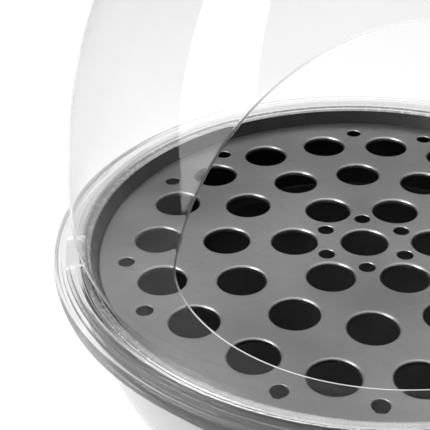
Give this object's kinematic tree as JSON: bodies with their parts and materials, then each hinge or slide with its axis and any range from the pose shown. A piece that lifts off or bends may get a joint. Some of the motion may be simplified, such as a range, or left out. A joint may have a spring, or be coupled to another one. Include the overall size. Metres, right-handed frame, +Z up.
{
  "type": "egg cooker",
  "caption": "Counter-top egg cooker: white bowl base with dark heating pan, perforated steel egg tray, clear egg-shaped dome with a scooped front opening, dial and rocker switch.",
  "frame": {"origin": "middle of the footprint, on the surface the feet stand on", "axes": "+Z up; -Y towards the user, so the dome's opening and the controls face -Y; +X to the right of someone facing the opening"},
  "size_m": [0.476, 0.476, 0.5382],
  "materials": {
    "clear_acrylic": "clear, polished",
    "white_gloss": "white, glossy",
    "dark_trim": "dark grey, satin",
    "tray_steel": "finely brushed",
    "pan_coating": "dark non-stick coating",
    "rubber": "matte",
    "bright_steel": "plain",
    "bare_aluminium": "satin",
    "black_plastic": "fine grain",
    "amber_lens": "clear amber",
    "circuit_board": "lacquered",
    "brass": "plain",
    "ceramic_white": "unglazed"
  },
  "bodies": {
    "base": {"base_shell": "white_gloss", "trim_band": "dark_trim", "rim_ring": "clear_acrylic", "key_block_left": "clear_acrylic", "key_block_right": "clear_acrylic", "drip_lip": "clear_acrylic", "pan_seal": "rubber", "heating_pan": "pan_coating", "bottom_cover": "black_plastic", "foot_1": "rubber", "foot_2": "rubber", "foot_3": "rubber", "foot_4": "rubber", "cover_screw_1": "bright_steel", "cover_screw_2": "bright_steel", "cover_screw_3": "bright_steel", "cover_screw_4": "bright_steel", "heat_plate": "bare_aluminium", "heating_element": "bright_steel", "element_terminal_left": "brass", "element_terminal_right": "brass", "heat_shield": "bare_aluminium", "plate_spacer_1": "bright_steel", "plate_spacer_2": "bright_steel", "plate_spacer_3": "bright_steel", "shield_post_1": "bright_steel", "shield_post_2": "bright_steel", "shield_post_3": "bright_steel", "thermostat": "black_plastic", "thermal_fuse": "ceramic_white", "fuse_clip": "bright_steel", "terminal_block": "ceramic_white", "control_housing": "white_gloss", "control_fascia": "dark_trim", "pilot_lens": "amber_lens", "switch_frame": "black_plastic", "regulator": "black_plastic", "control_board": "circuit_board", "inlet_housing": "white_gloss", "inlet_socket": "black_plastic", "inlet_pin_neutral": "brass", "inlet_pin_live": "brass", "inlet_pin_earth": "brass"},
    "tray": {"egg_tray": "tray_steel"},
    "dome_cover": {"dome": "clear_acrylic", "dome_knob": "white_gloss", "dome_knob_washer": "rubber", "dome_screw_washer": "rubber", "dome_knob_screw": "bright_steel"},
    "dial": {"temperature_dial": "white_gloss", "dial_spindle": "bright_steel"},
    "rocker": {"switch_rocker": "black_plastic"}
  },
  "joints": [
    {"name": "dome_lift", "type": "slide", "parent": "base", "child": "dome_cover", "axis": [0, 0, 1], "range_m": [0, 0.35]},
    {"name": "tray_lift", "type": "slide", "parent": "base", "child": "tray", "axis": [0, 0, 1], "range_m": [0, 0.13]},
    {"name": "dial_turn", "type": "hinge", "parent": "base", "child": "dial", "pos_m": [-0.034, -0.2209, 0.076], "axis": [0, 1, 0], "range_deg": [0, 270]},
    {"name": "rocker_tilt", "type": "hinge", "parent": "base", "child": "rocker", "pos_m": [0.034, -0.2174, 0.076], "axis": [1, 0, 0], "range_deg": [0, 20]}
  ]
}
